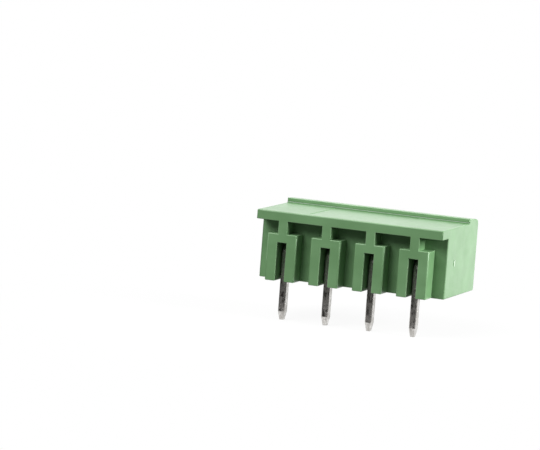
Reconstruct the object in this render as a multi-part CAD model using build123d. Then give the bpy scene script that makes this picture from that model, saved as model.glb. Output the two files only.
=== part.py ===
from build123d import *
import os

# Right-angle board header for a plug-in terminal block: a one-piece moulded housing
# and a row of bent contact pins. All sizes are in millimetres.
# X runs along the row, the solder tails point down and the plug goes in from the -Y side.
# The origin is on the board, in the middle of the row of solder tails.

# Contact row
contact_count = 4
pitch = 5.08

# Housing, outside
end_margin = 3.14  # last pin's centre line to the outside of the end wall
mouth_reach = 10.2  # solder tails forward to the mouth
back_face_inset = 0.2  # solder tails forward to the back of the main body
rear_overhang = 2.0  # roof and pin blocks, behind the main body
roof_height = 7.65
roof_lip_thickness = 1.05  # roof where it overhangs at the rear
brow_depth = 3.05  # raised band along the mouth, front to back
brow_rise = 0.55  # band above the roof
brow_drop = 0.3  # band's fall from its back edge to the mouth
brow_crown = 0.05  # band's bulge over a straight slope

# Housing, socket
end_wall = 0.48
rear_wall = 1.6
brow_wall = 0.87  # front edge of the band, below its top
groove_floor = 0.5  # least thickness of the bottom wall
groove_ridge = 1.5  # height of the ridges between the grooves
ridge_width = 0.55  # least width of a ridge, before its edges are rounded

# Notches in the band, one over each contact
notch_width = 2.05
notch_depth = 1.3

# Pin blocks at the rear
block_width = 3.4
block_height = 5.2
stem_width = 1.07
slot_side_clearance = 0.14
slot_top_clearance = 0.22

# Contact pins
pin_width = 0.8
pin_thickness = 0.9
pin_edge = 0.1
contact_height = 3.57  # centre line of the arm in the socket
tip_setback = 1.4  # contact tip behind the mouth
tail_length = 4.4
tail_taper = 0.95
contact_taper = 0.7
taper_inset = 0.16  # each side of a pin, at its ends
bend_inside = 0.2

# Bare marking panel sunk in the roof
panel_width = 10.0
panel_rear_margin = 0.85
panel_depth = 0.05

# Gate scar on each end wall
gate_height = 0.75
gate_width = 0.25
gate_rise = 0.04
gate_behind_mouth = 7.45
gate_centre_height = 3.75

# Mould radii
outer_edge = 0.14
end_edge = 0.12
brow_edge = 0.6
brow_foot = 0.2  # inside corner between the roof and the band
tab_corner = 0.5
tab_front_edge = 0.3
block_edge = 0.15
ridge_edge = 0.45

same_point = 0.001  # points nearer than this are one

pin_places = [(number - (contact_count - 1) / 2) * pitch for number in range(contact_count)]
half_length = (contact_count - 1) * pitch / 2 + end_margin
length = 2 * half_length

mouth_y = -mouth_reach
back_y = -back_face_inset
rear_y = back_y + rear_overhang
brow_y = mouth_y + brow_depth
lip_bottom = roof_height - roof_lip_thickness
brow_top = roof_height + brow_rise
mouth_top = brow_top - brow_drop
ceiling = mouth_top - brow_wall
socket_back_y = back_y - rear_wall
groove_reach = min(pitch / 2, end_margin - end_wall) - ridge_width / 2
groove_radius = (groove_reach**2 + (groove_ridge - groove_floor) ** 2) / (2 * (groove_ridge - groove_floor))


def end_view(x=0):
    """Plane across the row at x: sketch X is the part's Y and sketch Y is up."""
    return Plane(origin=(x, 0, 0), x_dir=(0, 1, 0), z_dir=(1, 0, 0))


def front_view(y=0):
    """Plane along the row at y, seen from the mouth: sketch Y is up."""
    return Plane(origin=(0, y, 0), x_dir=(1, 0, 0), z_dir=(0, -1, 0))


def block(x_range, y_range, z_range):
    """Box between two limits on each axis."""
    lows, highs = zip(x_range, y_range, z_range)
    sizes = [high - low for low, high in zip(lows, highs)]
    return Pos(*lows) * Box(*sizes, align=(Align.MIN, Align.MIN, Align.MIN))


def corners_at(sketch, *places):
    """Corners of a flat sketch that lie at the given points."""
    return [
        corner
        for corner in sketch.vertices()
        if any((corner.center() - Vector(*place)).length < same_point for place in places)
    ]


def outer_body():
    """Full-length body with the roof overhanging behind and the raised band in front."""
    rear_top = (rear_y, roof_height)
    brow_back = (brow_y, brow_top)
    brow_front = (mouth_y, mouth_top)
    band_middle = ((brow_y + mouth_y) / 2, (brow_top + mouth_top) / 2 + brow_crown)
    outline = Polyline(
        brow_front,
        (mouth_y, 0),
        (back_y, 0),
        (back_y, lip_bottom),
        (rear_y, lip_bottom),
        rear_top,
        (brow_y, roof_height),
        brow_back,
    )
    outline += ThreePointArc(brow_back, band_middle, brow_front)
    profile = make_face(outline)
    profile = fillet(corners_at(profile, rear_top, (mouth_y, 0)), outer_edge)
    profile = fillet(corners_at(profile, brow_front), brow_edge)
    profile = fillet(corners_at(profile, (brow_y, roof_height)), brow_foot)
    body = extrude(end_view(-half_length) * profile, length)
    ends = body.faces().filter_by(Axis.X)
    return fillet(ends.edges(), end_edge)


def socket():
    """Space for the plug: one open chamber with a round-bottomed groove under each contact."""
    half_width = half_length - end_wall
    above_ridges = Pos(0, (groove_ridge + ceiling) / 2) * Rectangle(2 * half_width, ceiling - groove_ridge)
    between_walls = Pos(0, ceiling / 2) * Rectangle(2 * half_width, ceiling)
    grooves = [Pos(x, groove_floor + groove_radius) * Circle(groove_radius) for x in pin_places]
    chamber = above_ridges + [groove & between_walls for groove in grooves]
    ridge_corners = [
        corner
        for corner in chamber.vertices()
        if corner.Y < ceiling - same_point and abs(corner.X) < half_width - same_point
    ]
    chamber = fillet(ridge_corners, ridge_edge)
    return extrude(front_view(socket_back_y) * chamber, socket_back_y - mouth_y)


def flared_foot(radius):
    """Foot of a notch on the sketch's X axis, which rounds the corners of the tabs beside it."""
    reach = notch_width / 2 + radius
    foot = Pos(0, radius / 2) * Rectangle(2 * reach, radius)
    return foot - [Pos(side * reach, radius) * Circle(radius) for side in (-1, 1)]


def notch(x):
    """Cut-out through the band over one contact, flared towards the plug and towards the pins."""
    slot = Pos(0, notch_depth / 2) * Rectangle(notch_width, notch_depth)
    from_above = Pos(x, mouth_y, ceiling) * (slot + flared_foot(tab_front_edge))
    cut = extrude(from_above, brow_top - ceiling)
    from_mouth = front_view(mouth_y + notch_depth) * Pos(x, ceiling) * flared_foot(tab_corner)
    return cut + extrude(from_mouth, notch_depth)


def pin_block(x):
    """Post that guards one solder tail, with the narrow stem that ties it to the roof."""
    outline = Pos(x, (back_y + rear_y) / 2) * Rectangle(block_width, rear_overhang)
    rear_corners = outline.vertices().group_by(Axis.Y)[-1]
    post = extrude(fillet(rear_corners, block_edge), block_height)
    stem_sides = (x - stem_width / 2, x + stem_width / 2)
    stem = block(stem_sides, (back_y, rear_y), (block_height, lip_bottom))
    return post + stem


def tail_slot(x):
    """Slot that is open to the rear and below, with the tail and its bend standing clear inside."""
    half_width = pin_width / 2 + slot_side_clearance
    front_y = -pin_thickness / 2 - bend_inside
    top = contact_height + pin_thickness / 2 + slot_top_clearance
    return block((x - half_width, x + half_width), (front_y, rear_y), (0, top))


def pin_section(inset=0.0):
    """Rectangular wire with its four long edges broken."""
    outline = Rectangle(pin_width - 2 * inset, pin_thickness - 2 * inset)
    return chamfer(outline.vertices(), pin_edge)


def pin_tip(taper):
    """Tapered end of the wire, from its full section up to the blunt point."""
    return loft([pin_section(), Pos(0, 0, taper) * pin_section(taper_inset)])


def contact_pin(x):
    """Contact arm, bend and solder tail of one pin."""
    tail_end = Vector(x, 0, tail_taper - tail_length)
    elbow = Vector(x, 0, contact_height)
    arm_end = Vector(x, mouth_y + tip_setback + contact_taper, contact_height)
    centre_line = FilletPolyline(tail_end, elbow, arm_end, radius=bend_inside + pin_thickness / 2)
    upwards = Plane(origin=tail_end, x_dir=(1, 0, 0), z_dir=(0, 0, 1))
    downwards = Plane(origin=tail_end, x_dir=(1, 0, 0), z_dir=(0, 0, -1))
    forwards = Plane(origin=arm_end, x_dir=(1, 0, 0), z_dir=(0, -1, 0))
    wire = sweep(upwards * pin_section(), path=centre_line)
    return wire + downwards * pin_tip(tail_taper) + forwards * pin_tip(contact_taper)


def pin_passage(x):
    """Press-fit hole through the rear wall, of the wire's own section."""
    return extrude(front_view(back_y) * Pos(x, contact_height) * pin_section(), rear_wall)


def marking_panel():
    """Shallow rectangular recess behind the band."""
    half_width = panel_width / 2
    y_range = (brow_y + brow_foot, rear_y - panel_rear_margin)
    return block((-half_width, half_width), y_range, (roof_height - panel_depth, roof_height))


def gate_scars():
    """Small upright mark that the moulding gate leaves on each end wall."""
    y = mouth_y + gate_behind_mouth
    y_range = (y - gate_width / 2, y + gate_width / 2)
    z_range = (gate_centre_height - gate_height / 2, gate_centre_height + gate_height / 2)
    outside = half_length + gate_rise
    left = block((-outside, -half_length), y_range, z_range)
    right = block((half_length, outside), y_range, z_range)
    return left + right


def housing():
    """One-piece moulding."""
    body = outer_body() - socket()
    for x in pin_places:
        body -= notch(x)
    body += [pin_block(x) for x in pin_places]
    for x in pin_places:
        body -= tail_slot(x)
        body -= pin_passage(x)
    body -= marking_panel()
    return body + gate_scars()


os.makedirs("parts", exist_ok=True)
export_step(housing(), "parts/housing.step")
for number, x in enumerate(pin_places, start=1):
    export_step(contact_pin(x), f"parts/pin_{number}.step")
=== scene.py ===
import math

import bmesh
import bpy
from mathutils import Matrix, Vector


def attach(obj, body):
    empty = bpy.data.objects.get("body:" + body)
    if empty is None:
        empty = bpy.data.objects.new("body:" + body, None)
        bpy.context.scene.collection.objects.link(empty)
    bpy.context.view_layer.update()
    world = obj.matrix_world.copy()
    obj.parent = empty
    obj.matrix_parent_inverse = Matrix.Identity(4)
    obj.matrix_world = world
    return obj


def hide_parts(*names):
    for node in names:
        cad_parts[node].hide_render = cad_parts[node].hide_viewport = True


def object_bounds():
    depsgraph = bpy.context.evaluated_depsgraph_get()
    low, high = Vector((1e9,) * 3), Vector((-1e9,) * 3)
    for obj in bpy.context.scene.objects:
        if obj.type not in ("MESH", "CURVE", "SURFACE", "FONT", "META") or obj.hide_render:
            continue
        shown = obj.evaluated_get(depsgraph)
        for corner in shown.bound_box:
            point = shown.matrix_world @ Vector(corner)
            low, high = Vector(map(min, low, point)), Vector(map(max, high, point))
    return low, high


# Metres, in the part's own frame: X runs along the row of pins, Z is up from the
# board, and the socket's mouth faces -Y.
MM = 0.001

# Camera, set by the edges in the photograph
CAMERA_AIM = Vector((10.131, -0.747, 5.710)) * MM
CAMERA_AZIMUTH = math.radians(-158.76)
CAMERA_ELEVATION = math.radians(6.952)
CAMERA_ROLL = math.radians(4.286)
CAMERA_DISTANCE = 371.65 * MM
CAMERA_LENS = 225.5
SENSOR_WIDTH = 36.0

# Roundings too small for the solids: radius, and the least angle of an edge that gets one
MOULD_ROUNDING = (0.07 * MM, math.radians(50))
PIN_ROUNDING = (0.035 * MM, math.radians(30))
ROUNDING_STEPS = 2
WELD_DISTANCE = 0.0005 * MM
FLAT_ANGLE = math.radians(0.2)

# Places on the solids that have a tone of their own, and the band's foot, where shade is painted
GATE_RISE = 0.04 * MM
ROOF_HEIGHT = 7.65 * MM
BAND_BACK = -7.15 * MM
FOOT_RADIUS = 0.2 * MM
FOOT_FADE = 0.05 * MM
PANEL_HALF_WIDTH = 5.0 * MM
PANEL_BACK = 0.95 * MM
PANEL_DEPTH = 0.05 * MM
PANEL_FADE = 0.01 * MM

# Green moulded nylon
NYLON_DARK = (0.141, 0.281, 0.126)
NYLON_LIGHT = (0.167, 0.323, 0.151)
# Painted highlight: a lighter green for the rounded edges, standing in for the light they catch
NYLON_EDGE_HIGHLIGHT = (0.270, 0.440, 0.245)
NYLON_TORN = (0.450, 0.590, 0.432)
# Painted shade: a darker green laid into the rounded inside corner at the band's foot
NYLON_PAINTED_SHADE = (0.046, 0.136, 0.040)
NYLON_PANEL = (0.196, 0.338, 0.182)
NYLON_ROUGHNESS = (0.29, 0.37)
NYLON_IOR = 1.53
CLOUD_GRAIN = 2.4 * MM
SHEEN_GRAIN = 1.1 * MM
SINK_GRAIN = 1.8 * MM
SINK_DEPTH = 0.02 * MM
SPARK_GRAIN = 0.075 * MM
SPARK_DEPTH = 0.003 * MM

# Tin plating on the pins
TIN_BRIGHT = (0.78, 0.77, 0.75)
TIN_DULL = (0.38, 0.36, 0.33)
TIN_ROUGHNESS = (0.26, 0.13)
TIN_METALLIC = (0.72, 1.0)
STREAK_GRAIN = 0.9 * MM
STREAK_DEPTH = 0.01 * MM
STAIN_GRAIN = 0.34 * MM
DENT_GRAIN = 0.3 * MM
DENT_DEPTH = 0.025 * MM
PIT_GRAIN = 0.06 * MM
PIT_DEPTH = 0.004 * MM

# Floor and surroundings
FLOOR_GAP = 0.02 * MM
FLOOR_SIZE = 4.0
FLOOR_COLOUR = (0.86, 0.86, 0.86)
NEAR_GLOW = 0.92
FADE_START = 5 * MM
FADE_END = 40 * MM
AMBIENT = 0.155
MATT_ROUGHNESS = 0.9

# Lamps: name, place, what it faces, side length and watts
PART_MIDDLE = Vector((0.0, -4.0, 3.5)) * MM
END_MIDDLE = Vector((-10.8, -5.0, 4.0)) * MM
LAMPS = (
    ("key_lamp", (0.17, 0.31, 0.36), PART_MIDDLE, 0.36, 3.0),
    ("side_lamp", (-0.40, 0.002, 0.135), PART_MIDDLE, 0.16, 2.72),
    ("back_lamp", (0.12, -0.36, 0.26), PART_MIDDLE, 0.25, 0.40),
    ("end_card", (-0.021, -0.030, 0.008), END_MIDDLE, 0.026, 0.0014),
)

# Dark cards that only reflections see: name, middle, width and height, turn about Z
CARD_COLOUR = (0.075, 0.066, 0.062)
CARDS = (
    ("rear_card", Vector((0.0, 3.6, 3.09)) * MM, (120 * MM, 15 * MM), 0.0),
    ("far_end_card", Vector((13.0, -4.0, -1.4)) * MM, (14 * MM, 6 * MM), math.radians(90)),
)

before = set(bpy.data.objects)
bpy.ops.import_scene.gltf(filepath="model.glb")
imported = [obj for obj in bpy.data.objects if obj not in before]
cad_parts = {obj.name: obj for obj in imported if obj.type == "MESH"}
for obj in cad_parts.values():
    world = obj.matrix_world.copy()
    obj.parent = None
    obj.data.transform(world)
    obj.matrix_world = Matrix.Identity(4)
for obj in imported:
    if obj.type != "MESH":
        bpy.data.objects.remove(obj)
cad_low, cad_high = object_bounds()


def new_material(name):
    """Empty node material with its shader and its Object coordinates."""
    material = bpy.data.materials.new(name)
    material.use_nodes = True
    shader = material.node_tree.nodes["Principled BSDF"]
    place = material.node_tree.nodes.new("ShaderNodeTexCoord").outputs["Object"]
    return material, shader, place


def add_node(tree, kind, **inputs):
    """New node with its named inputs set to a value or linked to a socket."""
    node = tree.nodes.new(kind)
    for name, value in inputs.items():
        socket = node.inputs[name.replace("_", " ")]
        if isinstance(value, bpy.types.NodeSocket):
            tree.links.new(value, socket)
        else:
            socket.default_value = value
    return node


def stretched(tree, place, scale):
    """Object coordinates multiplied axis by axis."""
    mapping = add_node(tree, "ShaderNodeMapping", Vector=place, Scale=scale)
    return mapping.outputs["Vector"]


def noise(tree, place, grain, detail=2.0, roughness=0.5):
    """Noise from 0 to 1 whose blotches are about a grain wide, in metres."""
    node = add_node(
        tree,
        "ShaderNodeTexNoise",
        Vector=place,
        Scale=1.0 / grain,
        Detail=detail,
        Roughness=roughness,
    )
    return node.outputs["Fac"]


def remap(tree, value, low, high, to_low, to_high):
    """Value taken from one range to another, easing in and out, and held inside it."""
    node = add_node(
        tree,
        "ShaderNodeMapRange",
        Value=value,
        From_Min=low,
        From_Max=high,
        To_Min=to_low,
        To_Max=to_high,
    )
    node.interpolation_type = "SMOOTHSTEP"
    return node.outputs["Result"]


def combine(tree, operation, first, *others):
    """Values joined one after another by the same operation."""
    result = first
    for value in others:
        node = tree.nodes.new("ShaderNodeMath")
        node.operation = operation
        tree.links.new(result, node.inputs[0])
        tree.links.new(value, node.inputs[1])
        result = node.outputs["Value"]
    return result


def between(tree, value, low, high, fade):
    """1 where a value lies between two limits and 0 outside them."""
    above_low = remap(tree, value, low - fade, low + fade, 0.0, 1.0)
    below_high = remap(tree, value, high - fade, high + fade, 1.0, 0.0)
    return combine(tree, "MULTIPLY", above_low, below_high)


def blend_colours(tree, factor, first, second):
    """Two colours mixed by a factor; each is a plain colour or a socket."""
    node = tree.nodes.new("ShaderNodeMix")
    node.data_type = "RGBA"
    tree.links.new(factor, node.inputs["Factor"])
    for socket, colour in ((node.inputs[6], first), (node.inputs[7], second)):
        if isinstance(colour, bpy.types.NodeSocket):
            tree.links.new(colour, socket)
        else:
            socket.default_value = (*colour, 1.0)
    return node.outputs[2]


def add_bump(tree, shader, layers):
    """Chain of bumps, each a height, its depth in metres and its strength."""
    normal = None
    for height, depth, strength in layers:
        bump = add_node(tree, "ShaderNodeBump", Height=height, Distance=depth, Strength=strength)
        if normal:
            tree.links.new(normal, bump.inputs["Normal"])
        normal = bump.outputs["Normal"]
    tree.links.new(normal, shader.inputs["Normal"])


def painted_foot_shade(tree, where):
    """1 on the rounded inside corner between the roof and the raised band, where shade is painted.
    """
    along = between(tree, where["Y"], BAND_BACK - FOOT_FADE, BAND_BACK + FOOT_RADIUS, FOOT_FADE)
    up = between(tree, where["Z"], ROOF_HEIGHT, ROOF_HEIGHT + FOOT_RADIUS, FOOT_FADE)
    return combine(tree, "MULTIPLY", along, up)


def marking_panel(tree, where):
    """1 on the sunk floor of the marking panel."""
    across = between(tree, where["X"], -PANEL_HALF_WIDTH, PANEL_HALF_WIDTH, PANEL_FADE)
    along = between(tree, where["Y"], BAND_BACK + FOOT_RADIUS, PANEL_BACK, PANEL_FADE)
    lowest = ROOF_HEIGHT - 2 * PANEL_DEPTH
    highest = ROOF_HEIGHT - PANEL_DEPTH / 2
    up = between(tree, where["Z"], lowest, highest, PANEL_FADE)
    return combine(tree, "MULTIPLY", across, along, up)


def gate_scars(tree, where):
    """1 on the small marks that stand proud of the end walls."""
    outwards = tree.nodes.new("ShaderNodeMath")
    outwards.operation = "ABSOLUTE"
    tree.links.new(where["X"], outwards.inputs[0])
    scar_foot = cad_high.x - GATE_RISE
    return remap(tree, outwards.outputs["Value"], scar_foot, scar_foot + 0.2 * GATE_RISE, 0.0, 1.0)


def moulded_nylon(name, dark, light):
    """Semi-matt green nylon: spark-eroded mould texture, faint flow clouds, torn gate scars,
    painted shade in the band's foot.
    """
    material, shader, place = new_material(name)
    tree = material.node_tree
    clouds = noise(tree, stretched(tree, place, (0.5, 1.0, 1.0)), CLOUD_GRAIN, detail=3.0)
    green = blend_colours(tree, remap(tree, clouds, 0.3, 0.7, 0.0, 1.0), dark, light)
    where = add_node(tree, "ShaderNodeSeparateXYZ", Vector=place).outputs
    # Painted shade: the band's foot is darkened in the base colour
    green = blend_colours(tree, painted_foot_shade(tree, where), green, NYLON_PAINTED_SHADE)
    green = blend_colours(tree, marking_panel(tree, where), green, NYLON_PANEL)
    green = blend_colours(tree, gate_scars(tree, where), green, NYLON_TORN)
    tree.links.new(green, shader.inputs["Base Color"])
    sheen_patches = noise(tree, place, SHEEN_GRAIN, detail=2.0)
    roughness = remap(tree, sheen_patches, 0.2, 0.8, *NYLON_ROUGHNESS)
    tree.links.new(roughness, shader.inputs["Roughness"])
    shader.inputs["IOR"].default_value = NYLON_IOR
    sparks = noise(tree, place, SPARK_GRAIN, detail=2.0)
    sink = noise(tree, place, SINK_GRAIN, detail=1.0)
    add_bump(tree, shader, ((sink, SINK_DEPTH, 0.3), (sparks, SPARK_DEPTH, 0.3)))
    return material


def tin_plating():
    """Tin over drawn wire: streaks along the pin, mottled stains, small dents, fine pits."""
    material, shader, place = new_material("tin_plating")
    tree = material.node_tree
    drawn = stretched(tree, place, (5.0, 1.0, 1.0))
    streaks = noise(tree, drawn, STREAK_GRAIN, detail=4.0, roughness=0.6)
    stains = noise(tree, place, STAIN_GRAIN, detail=4.0, roughness=0.65)
    clear_streaks = remap(tree, streaks, 0.35, 0.65, 0.35, 1.0)
    clear_stains = remap(tree, stains, 0.35, 0.7, 0.5, 1.0)
    tin_share = combine(tree, "MULTIPLY", clear_streaks, clear_stains)
    colour = blend_colours(tree, tin_share, TIN_DULL, TIN_BRIGHT)
    tree.links.new(colour, shader.inputs["Base Color"])
    tree.links.new(remap(tree, tin_share, 0.25, 0.85, *TIN_METALLIC), shader.inputs["Metallic"])
    tree.links.new(remap(tree, stains, 0.3, 0.7, *TIN_ROUGHNESS), shader.inputs["Roughness"])
    dents = remap(tree, noise(tree, place, DENT_GRAIN, detail=2.0), 0.6, 0.72, 0.0, 1.0)
    pits = noise(tree, place, PIT_GRAIN, detail=3.0)
    layers = ((streaks, STREAK_DEPTH, 0.3), (dents, DENT_DEPTH, 0.5), (pits, PIT_DEPTH, 0.35))
    add_bump(tree, shader, layers)
    return material


def background_strength(tree, lit_strength):
    """Strength that is 1 where the background is seen or reflected, and lower as a light."""
    rays = tree.nodes.new("ShaderNodeLightPath").outputs
    kinds = ("Is Camera Ray", "Is Glossy Ray", "Is Transmission Ray")
    seen = combine(tree, "MAXIMUM", *(rays[kind] for kind in kinds))
    return remap(tree, seen, 0.0, 1.0, lit_strength, 1.0)


def white_floor():
    """Matt white floor near the part, which fades into the white background around it."""
    material, shader, place = new_material("white_floor")
    tree = material.node_tree
    shader.inputs["Base Color"].default_value = (*FLOOR_COLOUR, 1.0)
    shader.inputs["Roughness"].default_value = MATT_ROUGHNESS
    shader.inputs["Specular IOR Level"].default_value = 0.0
    glow = tree.nodes.new("ShaderNodeEmission")
    tree.links.new(background_strength(tree, AMBIENT), glow.inputs["Strength"])
    distance = tree.nodes.new("ShaderNodeVectorMath")
    distance.operation = "LENGTH"
    tree.links.new(place, distance.inputs[0])
    fade = remap(tree, distance.outputs["Value"], FADE_START, FADE_END, NEAR_GLOW, 1.0)
    mix = tree.nodes.new("ShaderNodeMixShader")
    tree.links.new(fade, mix.inputs["Fac"])
    tree.links.new(shader.outputs["BSDF"], mix.inputs[1])
    tree.links.new(glow.outputs["Emission"], mix.inputs[2])
    tree.links.new(mix.outputs["Shader"], tree.nodes["Material Output"].inputs["Surface"])
    return material


def mark_outer_corners(mesh, radius, sharp_angle):
    """Full bevel weight for sharp edges that stick out, between faces wide enough to round."""
    weights = mesh.attributes.new("bevel_weight_edge", "FLOAT", "EDGE")
    corners = bmesh.new()
    corners.from_mesh(mesh)
    corners.edges.ensure_lookup_table()
    for edge in corners.edges:
        if len(edge.link_faces) != 2 or edge.calc_face_angle_signed() < sharp_angle:
            continue
        narrow_face = 2 * radius * edge.calc_length()
        if all(face.calc_area() > narrow_face for face in edge.link_faces):
            weights.data[edge.index].value = 1.0
    corners.free()


def finished_copy(node_name, piece_name, rounding_kind, materials):
    """Copy of a solid with its outer corners rounded, which stands for that solid."""
    radius, sharp_angle = rounding_kind
    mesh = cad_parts[node_name].data.copy()
    piece = bpy.data.objects.new(piece_name, mesh)
    mesh.name = piece_name
    bpy.context.scene.collection.objects.link(piece)
    bpy.ops.object.select_all(action="DESELECT")
    piece.select_set(True)
    bpy.context.view_layer.objects.active = piece
    bpy.ops.object.mode_set(mode="EDIT")
    bpy.ops.mesh.select_all(action="SELECT")
    bpy.ops.mesh.remove_doubles(threshold=WELD_DISTANCE)
    bpy.ops.mesh.dissolve_limited(angle_limit=FLAT_ANGLE)
    bpy.ops.object.mode_set(mode="OBJECT")
    mark_outer_corners(mesh, radius, sharp_angle)
    rounding = piece.modifiers.new("rounding", "BEVEL")
    rounding.width = radius
    rounding.segments = ROUNDING_STEPS
    rounding.limit_method = "WEIGHT"
    rounding.harden_normals = True
    rounding.use_clamp_overlap = False
    mesh.materials.clear()
    for material in materials:
        mesh.materials.append(material)
    # The rounded faces take the last material; for the nylon that is the lighter painted edge
    # highlight
    rounding.material = len(materials) - 1
    bpy.ops.object.modifier_apply(modifier=rounding.name)
    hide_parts(node_name)
    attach(piece, "root")


def add_camera():
    """Camera at the photograph's viewing angle, with its small roll."""
    back = Vector(
        (
            math.sin(CAMERA_AZIMUTH) * math.cos(CAMERA_ELEVATION),
            -math.cos(CAMERA_AZIMUTH) * math.cos(CAMERA_ELEVATION),
            math.sin(CAMERA_ELEVATION),
        )
    )
    bpy.ops.object.camera_add()
    camera = bpy.context.object
    level = (-back).to_track_quat("-Z", "Y").to_matrix().to_4x4()
    rolled = level @ Matrix.Rotation(CAMERA_ROLL, 4, "Z")
    camera.matrix_world = Matrix.Translation(CAMERA_AIM + back * CAMERA_DISTANCE) @ rolled
    camera.data.sensor_width = SENSOR_WIDTH
    camera.data.lens = CAMERA_LENS
    camera.data.clip_start = 10 * MM
    camera.data.clip_end = 10.0
    bpy.context.scene.camera = camera


def add_softbox(name, place, aim, size, watts):
    """Square lamp at one place, turned to face another."""
    bpy.ops.object.light_add(type="AREA", location=place)
    lamp = bpy.context.object
    lamp.name = name
    lamp.data.shape = "SQUARE"
    lamp.data.size = size
    lamp.data.energy = watts
    lamp.rotation_mode = "QUATERNION"
    lamp.rotation_quaternion = (Vector(aim) - Vector(place)).to_track_quat("-Z", "Y")
    lamp.visible_camera = False


def add_floor():
    """White floor just under the tips of the pins."""
    bpy.ops.mesh.primitive_plane_add(size=FLOOR_SIZE, location=(0, 0, cad_low.z - FLOOR_GAP))
    floor = bpy.context.object
    floor.name = "floor"
    floor.data.materials.append(white_floor())


def add_world():
    """White all round to the eye and in reflections, and a dim even light otherwise."""
    world = bpy.data.worlds.new("white_studio")
    bpy.context.scene.world = world
    world.use_nodes = True
    tree = world.node_tree
    tree.nodes["Background"].inputs["Color"].default_value = (1.0, 1.0, 1.0, 1.0)
    tree.links.new(background_strength(tree, AMBIENT), tree.nodes["Background"].inputs["Strength"])


def card_cloth():
    """Dark matt cloth of the cards, as a material."""
    material = bpy.data.materials.new("dark_card")
    material.use_nodes = True
    shader = material.node_tree.nodes["Principled BSDF"]
    shader.inputs["Base Color"].default_value = (*CARD_COLOUR, 1.0)
    shader.inputs["Roughness"].default_value = MATT_ROUGHNESS
    return material


def add_dark_card(name, place, size, turn, cloth):
    """Upright card that only reflections see, turned about Z; its size is width and height."""
    bpy.ops.object.select_all(action="DESELECT")
    bpy.ops.mesh.primitive_plane_add(size=1.0, location=place)
    card = bpy.context.object
    card.name = name
    card.scale = (*size, 1.0)
    card.rotation_euler = (math.radians(90), 0, turn)
    card.visible_camera = False
    card.visible_diffuse = False
    card.visible_shadow = False
    card.data.materials.append(cloth)


bpy.context.scene.view_settings.view_transform = "Standard"
# The second nylon is a lighter copy for the rounded edges: a painted highlight
nylon = (
    moulded_nylon("green_nylon", NYLON_DARK, NYLON_LIGHT),
    moulded_nylon("green_nylon_painted_edge_highlight", NYLON_LIGHT, NYLON_EDGE_HIGHLIGHT),
)
tin = (tin_plating(),)
finished_copy("housing", "moulded_housing", MOULD_ROUNDING, nylon)
for node_name in sorted(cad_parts):
    if node_name.startswith("pin_"):
        finished_copy(node_name, "tinned_" + node_name, PIN_ROUNDING, tin)
add_camera()
add_floor()
add_world()
dark_cloth = card_cloth()
for card in CARDS:
    add_dark_card(*card, dark_cloth)
for lamp in LAMPS:
    add_softbox(*lamp)
